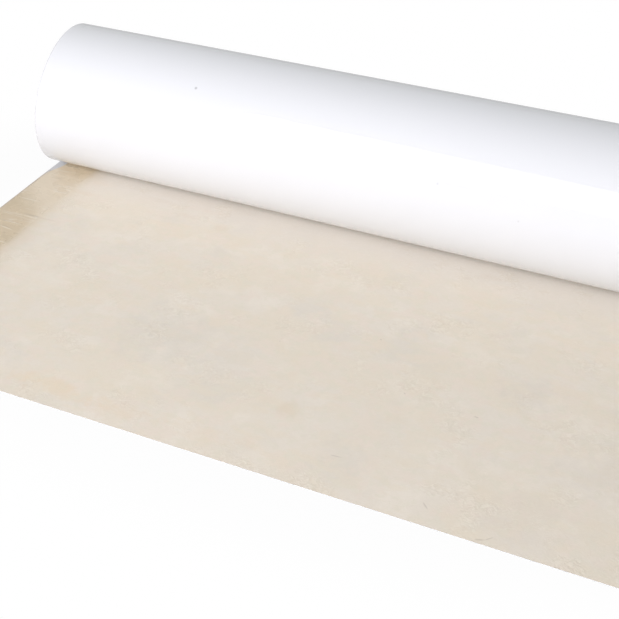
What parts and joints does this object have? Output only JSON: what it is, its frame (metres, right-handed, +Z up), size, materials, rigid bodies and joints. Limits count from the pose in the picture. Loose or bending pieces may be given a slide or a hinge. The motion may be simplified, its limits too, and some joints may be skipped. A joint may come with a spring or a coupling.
{
  "type": "waterproofing membrane roll",
  "caption": "Wide roll of white plastic waterproofing membrane lying on its side, with a short stretch unrolled flat in front of it, its beige adhesive face up.",
  "frame": {"origin": "middle of the bounding box, on the floor", "axes": "+X along the roll's axis, with the selvedge at the -X end; -Y the way the sheet unrolls; +Z up"},
  "size_m": [1.235, 0.7135, 0.2372],
  "materials": {
    "carrier": "smooth white carrier, beige coated adhesive on its inner face",
    "release_film": "thin glossy tan film"
  },
  "bodies": {
    "root": {"membrane": "carrier", "selvedge_film": "release_film"}
  },
  "joints": []
}
